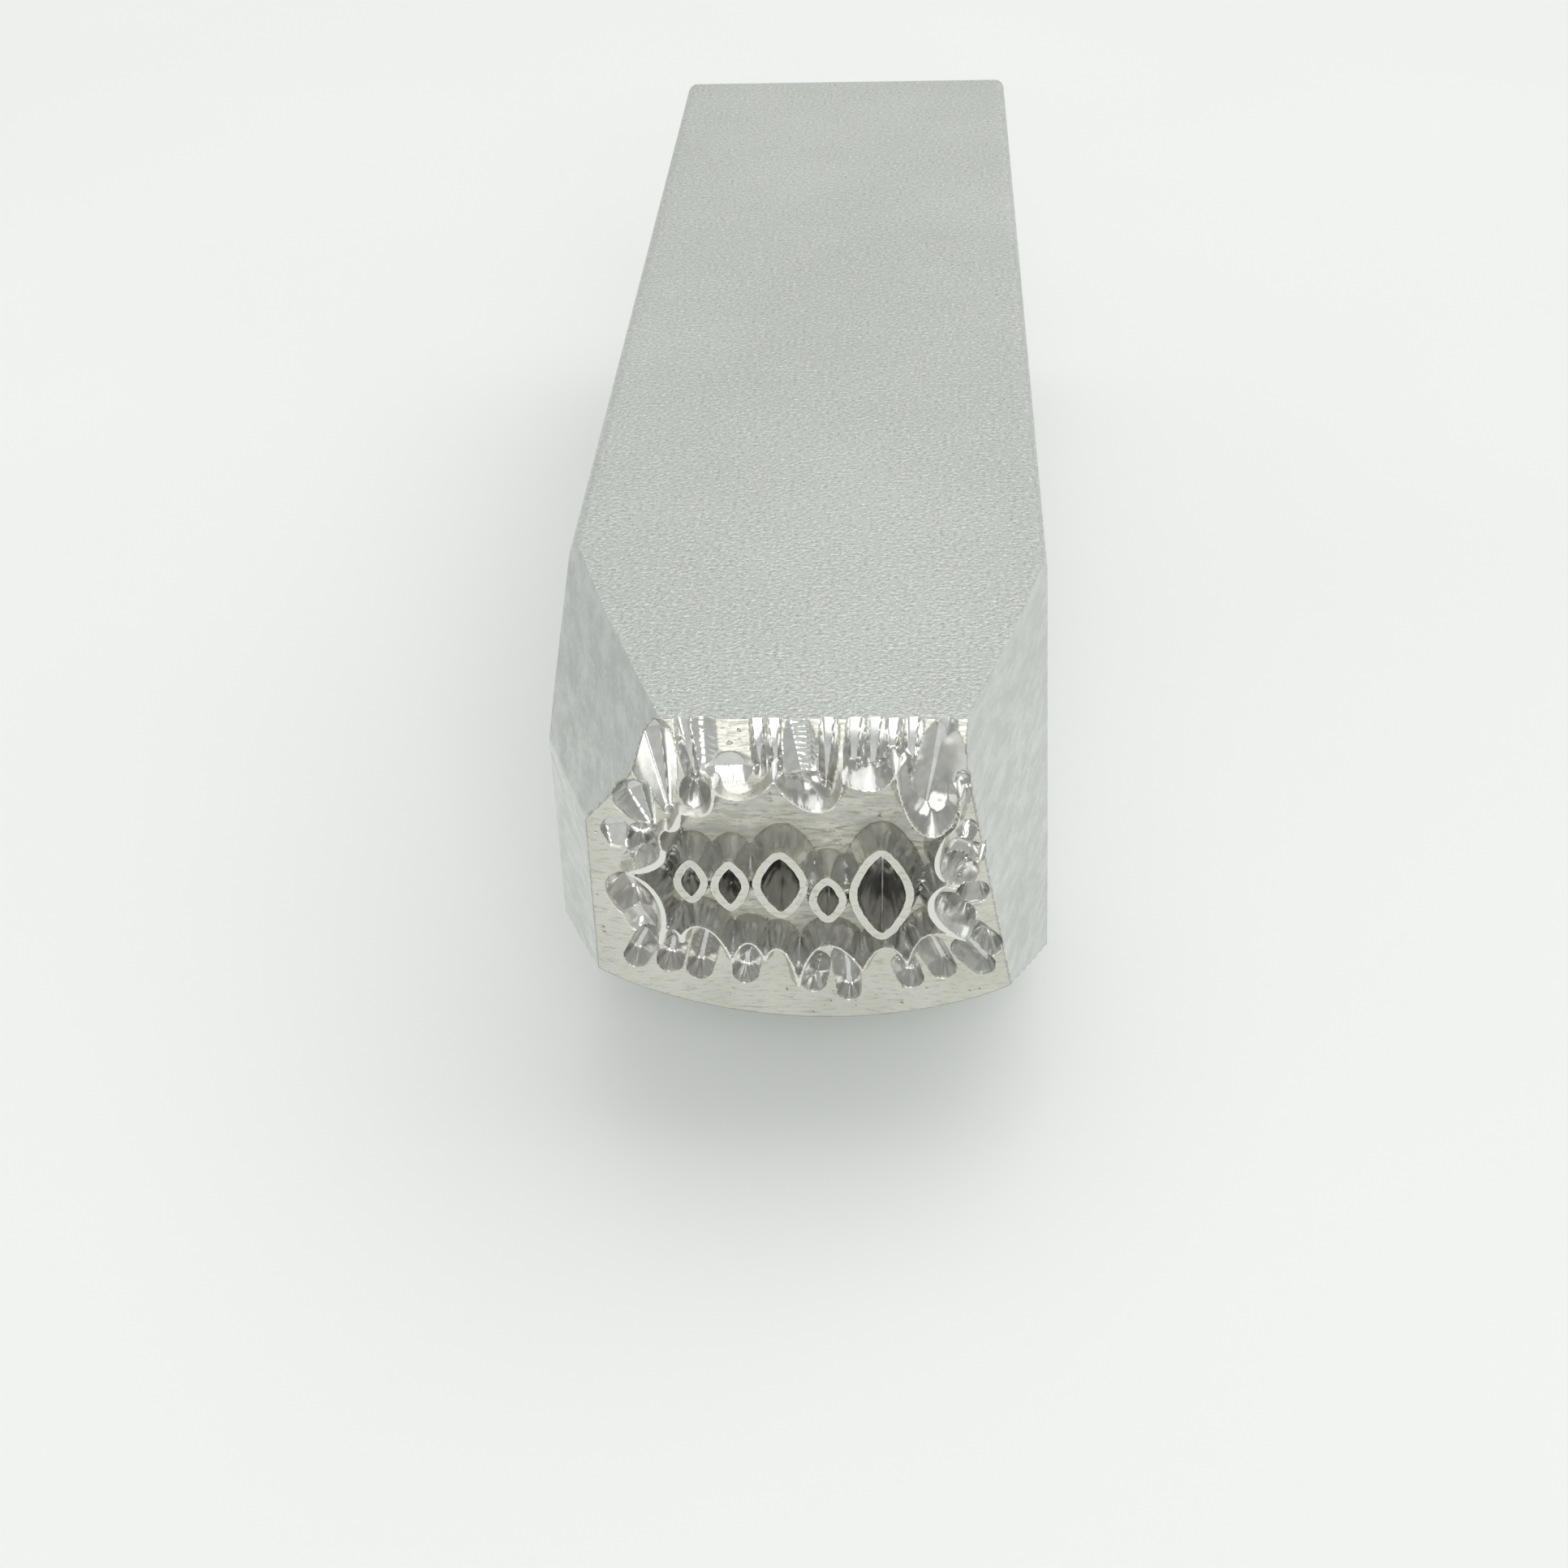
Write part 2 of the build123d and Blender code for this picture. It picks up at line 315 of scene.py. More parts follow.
def lozenge_line(x, z, half_width, half_height):
    """Four-pointed outline with sides that bow a little outward."""
    corners = [(half_width, 0), (0, half_height), (-half_width, 0), (0, -half_height)]
    points = []
    for index, start in enumerate(corners):
        end = corners[(index + 1) % 4]
        for step in range(LOZENGE_STEPS):
            t = step / LOZENGE_STEPS
            bow = 1 + LOZENGE_SWELL * 2 * 4 * t * (1 - t)
            points.append((
                x + (start[0] * (1 - t) + end[0] * t) * bow,
                z + (start[1] * (1 - t) + end[1] * t) * bow,
            ))
    return points


FRAME_LINE = frame_line()
LOZENGE_LINES = [lozenge_line(*lozenge) for lozenge in LOZENGES]


def distance_to_line(x, z, line):
    """Distance to a closed line, less its half width where it has one."""
    nearest = np.full(x.shape, FAR)
    for start, end in zip(line, line[1:] + line[:1]):
        widths = (start[2], end[2]) if len(start) == 3 else (0.0, 0.0)
        nearest = np.minimum(nearest, to_segment(x, z, start[:2], end[:2], *widths))
    return nearest


def apron_fall(past, distance):
    """Depth of the apron this far past where it starts to fall."""
    return LEDGE + past * (RIM_DROP - LEDGE) / distance


def cut_fields(x, z):
    """Every surface that shapes the face, as depths behind the print plane."""
    jitter = 0.010 * smooth_noise(x, z, 0.13, 3) + 0.006 * smooth_noise(x, z, 0.05, 4)
    ridge = distance_to_line(x, z, FRAME_LINE) + jitter * 0.6
    within = inside(x, z, [p[:2] for p in FRAME_LINE])

    motif = np.full(x.shape, FAR)
    hollow = np.full(x.shape, FAR)
    for line in LOZENGE_LINES:
        edge = distance_to_line(x, z, line)
        filled = inside(x, z, line)
        signed = np.where(filled, -edge, edge) + jitter
        motif = np.minimum(motif, signed)
        hollow = np.minimum(hollow, signed + STROKE)
    land = np.minimum(ridge, motif)

    floor = CUT_DEPTH + 0.012 * smooth_noise(x, z, 0.9, 5)
    field_wall = np.maximum(land, 0) / CUT_SLOPE
    field = np.minimum(field_wall, floor)
    hole_wall = np.maximum(-hollow, 0) / HOLE_SLOPE
    field = np.maximum(field, np.minimum(hole_wall, HOLE_DEPTH))

    # Apron outside the frame
    left = apron_fall(FALL_LEFT[0] - x, FALL_LEFT[1])
    right = apron_fall(x - FALL_RIGHT[0], FALL_RIGHT[1])
    top = LEDGE + TOP_CURVE * np.maximum(z - TOP_START, 0) ** 2
    foot = apron_fall(FALL_FOOT[0] - z, FALL_FOOT[1])
    apron = smooth_max(smooth_max(left, right, 0.15), smooth_max(top, foot, 0.1), 0.1)
    apron = smooth_max(apron, LEDGE * np.ones_like(x), 0.08)
    # The cutter left the patch high, right up to the crest
    off_middle = np.abs(x - PATCH_X + 0.05 * smooth_noise(x, z, 0.2, 10))
    beside = np.maximum(off_middle - PATCH_HALF, 0)
    below = np.maximum(PATCH_LOW - z, 0)
    patch = PATCH_DEPTH + PATCH_SLOPE * np.maximum(z - PATCH_START, 0)
    patch = patch + PATCH_SIDES * (beside + below)
    patch = patch + 0.007 * smooth_noise(0.4 * x, z, 0.10, 11)
    apron = np.minimum(apron, patch)
    apron = apron + 0.006 * smooth_noise(x, z, 0.7, 6)

    # Step-over marks of the facing cut, strongest towards the outline
    margin = np.clip((apron - 0.33) / 0.2, 0, 1)
    rows = z + 0.05 * smooth_noise(x, z, 0.6, 7) + 0.035 * smooth_noise(x, z, 0.17, 9)
    corner = np.clip((x - 2.5) / 1.2, 0, 1) * np.clip((z - 10.4) / 0.8, 0, 1)
    near_top = np.maximum(corner, np.clip((z - 11.6) / 0.3, 0, 1))
    marks = MARK_DEPTH + MARK_DEPTH_TOP * near_top
    apron = apron + margin * marks * np.abs(np.sin(math.pi * rows / MARK_PITCH))

    cuts = np.zeros_like(x)
    for start, end in FLUTES:
        cuts = np.maximum(cuts, cone_cut(x, z, start, end, *SHUT))
    for start, end in OPEN_FLUTES:
        cuts = np.maximum(cuts, cone_cut(x, z, start, end, *OPEN))
    arcs = np.hypot((x - 0.3) * 1.6, z - 10.2) + 0.05 * smooth_noise(x, z, 0.16, 8)
    waves = np.abs(np.sin(math.pi * arcs / RIPPLE_PITCH))
    for start, end, tips, depths, angles, ripple in RAMPS:
        ramp = cone_cut(x, z, start, end, tips, depths, angles, 1)
        cuts = np.maximum(cuts, ramp - ripple * waves)
    for start, end, radius, depth in BOWLS:
        cuts = np.maximum(cuts, apron + bowl_cut(x, z, start, end, radius, depth))
    outer_wall = np.maximum(land, 0) / OUTER_SLOPE
    return {
        "land": land, "ridge": ridge, "within": within, "floor": floor, "field": field,
        "field_wall": field_wall, "hole_wall": hole_wall, "hollow": hollow,
        "apron": apron, "cuts": cuts, "outer_wall": outer_wall,
        "facets": ground_facets(x, z),
    }


def ground_facets(x, z):
    """Depth of the facets that were ground behind the face, where they cut the bar."""
    left = plane_depth(x, z, *LEFT_FACET)
    corner = curl_over(plane_depth(x, z, *CORNER_FACET), *CORNER_CURL)
    right = curl_over(plane_depth(x, z, *RIGHT_FACET), *RIGHT_CURL)
    cx, cz, radius = circle_through(*BELLY_ARC)
    arc = cz - np.sqrt(np.maximum(radius ** 2 - (x - cx) ** 2, 0))
    belly = curl_over(RIM_DROP + (arc - z) * BELLY_BACK / BELLY_DOWN, *BELLY_CURL)
    return np.maximum(np.maximum(left, corner), np.maximum(right, belly))


def curl_over(depth, start, share):
    """A facet's depth, growing faster by share behind start."""
    return depth + share * np.maximum(depth - start, 0)


def plane_depth(x, z, a, b, c):
    """Depth of the plane through three points given as x, depth and z."""
    a, b, c = (np.array(p, float) for p in (a, b, c))
    n = np.cross(b - a, c - a)
    return a[1] - (n[0] * (x - a[0]) + n[2] * (z - a[2])) / n[1]


def circle_through(a, b, c):
    """Centre and radius of the circle through three points."""
    (ax, az), (bx, bz), (cx, cz) = a, b, c
    d = 2 * (ax * (bz - cz) + bx * (cz - az) + cx * (az - bz))
    ux = ((ax**2 + az**2) * (bz - cz) + (bx**2 + bz**2) * (cz - az)
          + (cx**2 + cz**2) * (az - bz)) / d
    uz = ((ax**2 + az**2) * (cx - bx) + (bx**2 + bz**2) * (ax - cx)
          + (cx**2 + cz**2) * (bx - ax)) / d
    return ux, uz, math.hypot(ax - ux, az - uz)


def outside_depth(f):
    """Depth of the surface outside the frame, without the facets."""
    return np.minimum(f["outer_wall"], np.maximum(f["apron"], f["cuts"]))


def face_depth(f):
    """Depth of the engraved face, without the facets."""
    return np.where(f["within"], f["field"], outside_depth(f))


def combine(f):
    """Depth of the working end, from its separate surfaces."""
    return np.maximum(np.maximum(face_depth(f), f["facets"]), 0)


# ---------------------------------------------------------------- mesh of the stamp

def spread(low, high, fine):
    """Grid lines from low to high: even and fine within fine's range, coarse outside it."""
    parts = []
    for start, end, step in (
        (low, fine[0], COARSE), (fine[0], fine[1], FINE), (fine[1], high, COARSE),
    ):
        if end - start > 1e-6:
            count = max(1, round((end - start) / step))
            parts.append(np.linspace(start, end, count + 1)[:-1])
    return np.append(np.concatenate(parts), high)


def round_corners(x, z):
    """Moves a square's points so that its corners have the radius of the bar's long edges."""
    cx = np.clip(x, -HALF + EDGE_RADIUS, HALF - EDGE_RADIUS)
    cz = np.clip(z, EDGE_RADIUS, BAR - EDGE_RADIUS)
    u, v = x - cx, z - cz
    length = np.hypot(u, v)
    scale = np.where(length > 1e-9, np.maximum(abs(u), abs(v)) / np.maximum(length, 1e-9), 1)
    return cx + u * scale, cz + v * scale


def snap(x, z, field, moved):
    """Pulls grid points on to the line where field is zero, so that the crease there is clean."""
    gz, gx = np.gradient(field)
    gz, gx = gz / np.gradient(z, axis=0), gx / np.gradient(x, axis=1)
    size = gx**2 + gz**2 + 1e-12
    step_x, step_z = -field * gx / size, -field * gz / size
    step = np.hypot(step_x, step_z)
    near = (step < SNAP_SHARE * FINE) & ~moved
    near[[0, -1], :] = False
    near[:, [0, -1]] = False
    x[near] += step_x[near]
    z[near] += step_z[near]
    moved |= near


def working_end():
    """Points and quads of the whole working end, seen from the front, as one grid."""
    lines_x = spread(-HALF, HALF, FINE_X)
    lines_z = spread(0.0, BAR, FINE_Z)
    x, z = np.meshgrid(lines_x, lines_z)
    x, z = round_corners(x, z)
    f = cut_fields(x, z)
    moved = np.zeros(x.shape, bool)
    outside = np.maximum(f["apron"], f["cuts"])
    fine = (x > FINE_X[0]) & (x < FINE_X[1]) & (z > FINE_Z[0])
    far = 9.0                   # keeps points where they are
    for field in (
        f["land"],
        f["hollow"],
        face_depth(f) - f["facets"],
        np.where(f["within"], f["field_wall"] - f["floor"], far),
        np.where(f["within"], far, f["outer_wall"] - outside),
        np.where(f["within"], far, f["cuts"] - f["apron"]),
        np.where(f["within"], f["hole_wall"] - HOLE_DEPTH, far),
    ):
        snap(x, z, np.where(fine, field, far), moved)
    f = cut_fields(x, z)
    return x, z, combine(f), f


def perimeter(inset=0.0):
    """Cross-section of the bar as points going round it, starting at the lower left corner."""
    points = []
    arc_steps, side_steps = 6, 6
    size, radius = HALF - inset, EDGE_RADIUS
    for turn in (180, 270, 0, 90):
        cx = (size - radius) * (-1 if turn in (180, 90) else 1)
        cz = HALF + (size - radius) * (-1 if turn in (180, 270) else 1)
        for step in range(arc_steps + 1):
            angle = math.radians(turn + 90 * step / arc_steps)
            points.append((cx + radius * math.cos(angle), cz + radius * math.sin(angle)))
        here, ahead = points[-1], {
            180: (size - radius, HALF - size), 270: (size, HALF + size - radius),
            0: (-(size - radius), HALF + size), 90: (-size, HALF - size + radius),
        }[turn]
        for share in [0.02] + [k / side_steps for k in range(1, side_steps)] + [0.98]:
            points.append((
                here[0] + (ahead[0] - here[0]) * share,
                here[1] + (ahead[1] - here[1]) * share,
            ))
    return points


def place_along(points):
    """Each point's angle round the bar, counted from the lower left corner."""
    points = np.array(points)
    angle = np.arctan2(points[:, 1] - HALF, points[:, 0])
    return (angle + 0.75 * math.pi) % (2 * math.pi)


def turned(ring, section):
    """A ring, turned to start at the lower left corner of its section, and its places."""
    place = place_along(section)
    start = int(np.argmin(place))
    return ring[start:] + ring[:start], np.roll(place, -start)


def zip_rings(first, second, place_first, place_second):
    """Triangles between two rings of different counts, both running the same way round."""
    faces, i, j = [], 0, 0
    n, m = len(first), len(second)
    while i < n or j < m:
        next_i = place_first[i + 1] if i + 1 < n else place_first[0] + 2 * math.pi
        next_j = place_second[j + 1] if j + 1 < m else place_second[0] + 2 * math.pi
        if j >= m or (i < n and next_i <= next_j):
            faces.append((first[i % n], second[j % m], first[(i + 1) % n]))
            i += 1
        else:
            faces.append((first[i % n], second[j % m], second[(j + 1) % m]))
            j += 1
    return faces


def build_stamp():
    """The whole tool as one closed mesh."""
    x, z, depth, fields = working_end()
    rows, columns = x.shape
    y = FACE + depth
    points = [tuple(p) for p in np.stack([x, y, z], -1).reshape(-1, 3)]
    number = np.arange(rows * columns).reshape(rows, columns)

    # Each quad is split along the diagonal that joins its two more equal depths
    a, b = number[:-1, :-1], number[:-1, 1:]
    c, d = number[1:, 1:], number[1:, :-1]
    flat = abs(depth[:-1, :-1] - depth[1:, 1:]) <= abs(depth[:-1, 1:] - depth[1:, :-1])
    first = np.where(flat[..., None], np.stack([a, b, c], -1), np.stack([a, b, d], -1))
    second = np.where(flat[..., None], np.stack([a, c, d], -1), np.stack([b, c, d], -1))
    triangles = np.concatenate([first.reshape(-1, 3), second.reshape(-1, 3)])
    faces = [tuple(t) for t in triangles]
    ground = (fields["facets"] > face_depth(fields) - 1e-6).reshape(-1)
    slots = np.where(ground[triangles].all(1), GROUND, CUT).tolist()

    # Front ring of the bar, the same way round as perimeter()
    ring = (
        list(number[0, :-1]) + list(number[:-1, -1])
        + list(number[-1, :0:-1]) + list(number[:0:-1, 0])
    )
    ring = [int(v) for v in ring]
    ring, ring_place = turned(ring, [(points[v][0], points[v][2]) for v in ring])

    # Rings of the bar and of the bevel, and then of the struck end, which shrink to its middle
    section, place = turned(perimeter(), perimeter())
    rings = []
    for station in [FACE + RUN_OUT] + STATIONS:
        rings.append([len(points) + k for k in range(len(section))])
        points += [(px, station, pz) for px, pz in section]
    for inset, back in BEVEL:
        bevel, _ = turned(perimeter(inset), perimeter(inset))
        rings.append([len(points) + k for k in range(len(bevel))])
        points += [(px, STRUCK - back, pz) for px, pz in bevel]
    bar_steps = len(rings) - 1
    rim = [points[v] for v in rings[-1]]
    for share in (0.75, 0.5, 0.25):
        rings.append([len(points) + k for k in range(len(rim))])
        points += [(px * share, py, HALF + (pz - HALF) * share) for px, py, pz in rim]

    for triangle in zip_rings(ring, rings[0], ring_place, place):
        faces.append(triangle)
        slots.append(BLASTED)
    for step, (front, back) in enumerate(zip(rings, rings[1:])):
        for k in range(len(front)):
            following = (k + 1) % len(front)
            faces.append((front[k], back[k], back[following], front[following]))
            slots.append(BLASTED if step < bar_steps else STRUCK_END)
    centre, last = len(points), rings[-1]
    points.append((0.0, STRUCK, HALF))
    for k in range(len(last)):
        faces.append((last[k], centre, last[(k + 1) % len(last)]))
        slots.append(STRUCK_END)

    mesh = bpy.data.meshes.new("stamp_steel")
    mesh.from_pydata([tuple(MM * c for c in p) for p in points], [], faces)
    mesh.validate()
    mesh.polygons.foreach_set("material_index", np.array(slots[:len(mesh.polygons)], np.int32))
    mesh.update()
    stamp = bpy.data.objects.new("stamp_steel", mesh)
    bpy.context.scene.collection.objects.link(stamp)
    orient_outward(stamp)
    mesh.shade_smooth()
    mesh.set_sharp_from_angle(angle=math.radians(SHARP_ANGLE))
    mark_top_rim(mesh)

    # Where the cut steel differs: cutter's walls; crests, worn bright and given a painted
    # highlight; the sunk field, given painted shade by its depth; and the outline, given a
    # painted shade line
    wall = np.where(
        fields["within"],
        np.clip((fields["floor"] - fields["field"]) / WALL_REACH, 0, 1),
        np.clip((fields["cuts"] - fields["apron"]) / WALL_REACH, 0, 1),
    )
    wall = np.where(fields["land"] <= 0.004, 0, wall)
    wall = np.where(fields["hollow"] < -0.004, 1, wall)
    # Crests, worn edges and the top rim: partly worn bright, partly a painted highlight of
    # rounded edges catching the light
    crest_wear_and_highlight = np.clip(1 - np.maximum(fields["ridge"], 0) / CREST_REACH, 0, 1)
    edge = np.minimum(abs(fields["land"]), abs(fields["hollow"]))
    edge_wear_and_highlight = EDGE_WEAR_AND_HIGHLIGHT * np.clip(1 - edge / EDGE_WEAR_AND_HIGHLIGHT_REACH, 0, 1)
    crest_wear_and_highlight = np.maximum(crest_wear_and_highlight, np.where(fields["within"], edge_wear_and_highlight, 0))
    crest_wear_and_highlight = np.maximum(crest_wear_and_highlight, np.clip((z - BAR) / EDGE_WEAR_AND_HIGHLIGHT_REACH + 1, 0, 1))
    # Painted shade: the field darkens the deeper it is sunk
    sunk = np.where(fields["within"], np.clip(fields["field"] / SUNK_DEPTH, 0, 1), 0)
    # Painted shade: a dark line where the face meets the ground facets
    off_outline = abs(outside_depth(fields) - fields["facets"])
    outline = np.clip(1 - off_outline / OUTLINE_REACH, 0, 1)
    outline = np.where(fields["within"] | (z > BAR - 0.1), 0, outline)
    for name, share in (
        ("cut_wall", wall), ("crest_wear_and_highlight", crest_wear_and_highlight), ("sunk", sunk), ("outline", outline),
    ):
        values = np.zeros(len(points), np.float32)
        values[:rows * columns] = share.reshape(-1)
        mesh.attributes.new(name, "FLOAT", "POINT").data.foreach_set("value", values)
    return stamp


def mark_top_rim(mesh):
    """Keeps the rim between the working face and the bar's sides crisp."""
    touching = {}
    for polygon in mesh.polygons:
        for key in polygon.edge_keys:
            touching.setdefault(key, set()).add(polygon.material_index)
    rim = {key for key, slots in touching.items() if CUT in slots and BLASTED in slots}
    for edge in mesh.edges:
        if tuple(sorted(edge.vertices)) in rim:
            edge.use_edge_sharp = True


def orient_outward(stamp):
    """Makes every face of a closed mesh look outward."""
    work = bmesh.new()
    work.from_mesh(stamp.data)
    bmesh.ops.recalc_face_normals(work, faces=work.faces)
    work.to_mesh(stamp.data)
    work.free()


# ---------------------------------------------------------------- materials

class Nodes:
    """Short way to add and link the nodes of one material."""

    def __init__(self, name):
        self.material = bpy.data.materials.new(name)
        self.material.use_nodes = True
        self.tree = self.material.node_tree
        self.shader = self.tree.nodes["Principled BSDF"]

    def add(self, kind, inputs=None, **settings):
        node = self.tree.nodes.new(kind)
        for key, value in settings.items():
            setattr(node, key, value)
        for key, value in (inputs or {}).items():
            if isinstance(value, bpy.types.NodeSocket):
                self.tree.links.new(value, node.inputs[key])
            else:
                node.inputs[key].default_value = value
        return node

    def coordinates(self, scale):
        """Object coordinates, scaled along each axis."""
        place = self.add("ShaderNodeTexCoord")
        return self.add(
            "ShaderNodeMapping", {"Vector": place.outputs["Object"], "Scale": scale}
        ).outputs["Vector"]

    def noise(self, scale, detail=3.0, roughness=0.6, stretch=(1, 1, 1)):
        return self.add("ShaderNodeTexNoise", {
            "Vector": self.coordinates([PER_METRE * s for s in stretch]),
            "Scale": scale, "Detail": detail, "Roughness": roughness,
        }).outputs["Fac"]

    def range(self, value, low, high, to_low, to_high):
        return self.add("ShaderNodeMapRange", {
            "Value": value, "From Min": low, "From Max": high,
            "To Min": to_low, "To Max": to_high,
        }).outputs["Result"]

    def math(self, operation, a, b=0.0):
        return self.add("ShaderNodeMath", {0: a, 1: b}, operation=operation).outputs[0]

    def mix(self, share, a, b):
        """Colour between a and b; the numbers are the mix node's colour sockets."""
        return self.add("ShaderNodeMix", {
            "Factor": share, 6: a, 7: b,
        }, data_type="RGBA").outputs[2]

    def clouds(self, value, darker, lighter):
        """Colour that drifts between two, following a noise."""
        return self.mix(self.range(value, 0.35, 0.65, 0, 1), darker, lighter)

    def bump(self, height, distance, strength=1.0, normal=None):
        inputs = {"Height": height, "Distance": distance, "Strength": strength}
        if normal is not None:
            inputs["Normal"] = normal
        return self.add("ShaderNodeBump", inputs).outputs["Normal"]

    def attribute(self, name):
        return self.add("ShaderNodeAttribute", attribute_name=name).outputs["Fac"]

    def finish(self, color, roughness, normal, metallic=1.0):
        self.tree.links.new(color, self.shader.inputs["Base Color"])
        self.tree.links.new(roughness, self.shader.inputs["Roughness"])
        self.tree.links.new(normal, self.shader.inputs["Normal"])
        self.shader.inputs["Metallic"].default_value = metallic
        return self.material


def cut_steel():
    """Bright steel of the working face: streaked cutter walls, scratched floors and apron, with a
    painted highlight on the crests and painted shade in the sunk field and along the outline.
    """
    n = Nodes("cut_steel")
    wall, crest_wear_and_highlight, sunk = n.attribute("cut_wall"), n.attribute("crest_wear_and_highlight"), n.attribute("sunk")
    broad = n.noise(0.45, 3.0)
    scratch = n.noise(2.4, 6.0, 0.75, (1.0, 1, 4.5))
    fine = n.noise(9.0, 3.0, 0.6, (0.5, 1, 3.0))
    streak = n.noise(4.0, 2.0, 0.5, (1, 0.15, 1))
    pits = n.noise(4.5, 2.0, 0.5)

    # Apron and field, with dark scratches, pale ones and pits, and painted shade that darkens the
    # field the deeper it lies
    color = n.clouds(broad, (0.63, 0.62, 0.555, 1), (0.71, 0.70, 0.635, 1))
    # Painted shade: dark scratches grow stronger and wider the deeper the field is sunk
    share = n.range(sunk, 0.0, 1.0, 0.5, 1.0)
    reach = n.range(sunk, 0.0, 1.0, 0.47, 0.50)
    dark = n.math("MULTIPLY", n.range(scratch, 0.38, reach, 1.0, 0.0), share)
    color = n.mix(dark, color, (0.34, 0.33, 0.285, 1))
    color = n.mix(n.range(scratch, 0.55, 0.68, 0.0, 0.35), color, (0.80, 0.79, 0.74, 1))
    # Swirl marks of the cutter, darkened by depth as painted shade in the sunk field
    swirl = n.noise(1.4, 5.0, 0.75, (0.6, 1, 2.2))
    swirl_marks_and_shade = n.math("MULTIPLY", sunk, n.range(swirl, 0.35, 0.60, 0.9, 0.05))
    color = n.mix(swirl_marks_and_shade, color, (0.45, 0.445, 0.40, 1))
    pit = n.range(pits, 0.24, 0.30, 1.0, 0.0)
    color = n.mix(n.math("MULTIPLY", pit, 0.6), color, (0.25, 0.24, 0.21, 1))
    # Walls
    walls = n.clouds(streak, (0.60, 0.60, 0.58, 1), (0.70, 0.70, 0.68, 1))
    walls = n.mix(n.range(broad, 0.52, 0.68, 0.0, 0.5), walls, (0.57, 0.54, 0.51, 1))
    color = n.mix(wall, color, walls)
    # Crests and worn edges lightened: partly worn bright steel, partly a painted highlight
    color = n.mix(crest_wear_and_highlight, color, (0.82, 0.81, 0.77, 1))
    # Painted shade: a dark line along the outline, where the face meets the facets
    outline = n.math("MULTIPLY", n.attribute("outline"), 0.8)
    color = n.mix(outline, color, (0.30, 0.295, 0.27, 1))

    # Scratched and pitted where flat, and faintly streaked on the walls
    flat = n.math("SUBTRACT", 1.0, wall)
    relief = n.math("ADD", n.math("MULTIPLY", scratch, 0.7), n.math("MULTIPLY", fine, 0.3))
    relief = n.math("SUBTRACT", relief, pit)
    relief = n.math("MULTIPLY", relief, flat)
    streaks = n.math("MULTIPLY", streak, n.range(wall, 0, 1, 0.0, 0.10))
    height = n.math("ADD", relief, streaks)
    normal = n.bump(height, 0.022 * MM, 1.0)
    rough = n.range(fine, 0.3, 0.7, 0.28, 0.42)
    rough = n.math("ADD", n.math("MULTIPLY", rough, flat), n.math("MULTIPLY", wall, 0.20))
    return n.finish(color, rough, normal)


def blasted_steel():
    """Matte grey of the bar: an even grain with painted glints, a little cloudy."""
    n = Nodes("blasted_steel")
    cloud = n.noise(0.12, 3.0)
    grain = n.noise(8.5, 2.0, 0.7)
    color = n.clouds(cloud, (0.66, 0.675, 0.64, 1), (0.71, 0.725, 0.69, 1))
    # Painted glints: bright specks standing for the sparkle of the grain
    color = n.mix(n.range(grain, 0.54, 0.68, 0, 0.8), color, (0.96, 0.97, 0.94, 1))
    color = n.mix(n.range(grain, 0.32, 0.46, 0.8, 0), color, (0.47, 0.48, 0.45, 1))
    normal = n.bump(grain, 0.05 * MM, 0.9)
    rough = n.range(grain, 0.3, 0.7, 0.56, 0.42)
    return n.finish(color, rough, normal)


def ground_steel():
    """Belt-ground facets: fine lines along the grinding direction, darker than the bar."""
    n = Nodes("ground_steel")
    cloud = n.noise(0.2, 3.0)
    lines = n.noise(3.0, 4.0, 0.7, (1.0, 0.12, 1.0))
    grain = n.noise(7.0, 3.0, 0.7)
    color = n.clouds(cloud, (0.70, 0.715, 0.695, 1), (0.77, 0.785, 0.76, 1))
    color = n.mix(n.range(lines, 0.40, 0.62, 0.5, 0.0), color, (0.50, 0.51, 0.49, 1))
    color = n.mix(n.range(grain, 0.58, 0.72, 0, 0.4), color, (0.86, 0.87, 0.84, 1))
    normal = n.bump(n.math("ADD", lines, n.math("MULTIPLY", grain, 0.5)), 0.04 * MM, 0.8)
    rough = n.range(lines, 0.3, 0.7, 0.40, 0.54)
    return n.finish(color, rough, normal)


def struck_steel():
    """Struck end: sawn flat, dented and burnished by the mallet."""
    n = Nodes("struck_steel")
    cloud = n.noise(0.6, 4.0)
    lines = n.noise(5.0, 4.0, 0.7, (0.10, 1.0, 1.0))
    grain = n.noise(8.5, 2.0, 0.7)
    dents = n.add("ShaderNodeTexVoronoi", {
        "Vector": n.coordinates([PER_METRE] * 3), "Scale": 1.1,
    }).outputs["Distance"]
    dents = n.range(dents, 0.05, 0.30, 0.0, 1.0)
    color = n.clouds(cloud, (0.56, 0.565, 0.55, 1), (0.64, 0.645, 0.63, 1))
    color = n.mix(n.range(lines, 0.36, 0.50, 0.5, 0.0), color, (0.42, 0.42, 0.40, 1))
    color = n.mix(n.range(grain, 0.58, 0.70, 0.0, 0.4), color, (0.80, 0.80, 0.78, 1))
    height = n.math("ADD", n.math("MULTIPLY", lines, 0.5), n.math("MULTIPLY", dents, 0.8))
    height = n.math("ADD", height, n.math("MULTIPLY", grain, 0.4))
    normal = n.bump(height, 0.05 * MM, 0.9)
    rough = n.range(cloud, 0.3, 0.7, 0.34, 0.48)
    return n.finish(color, rough, normal)


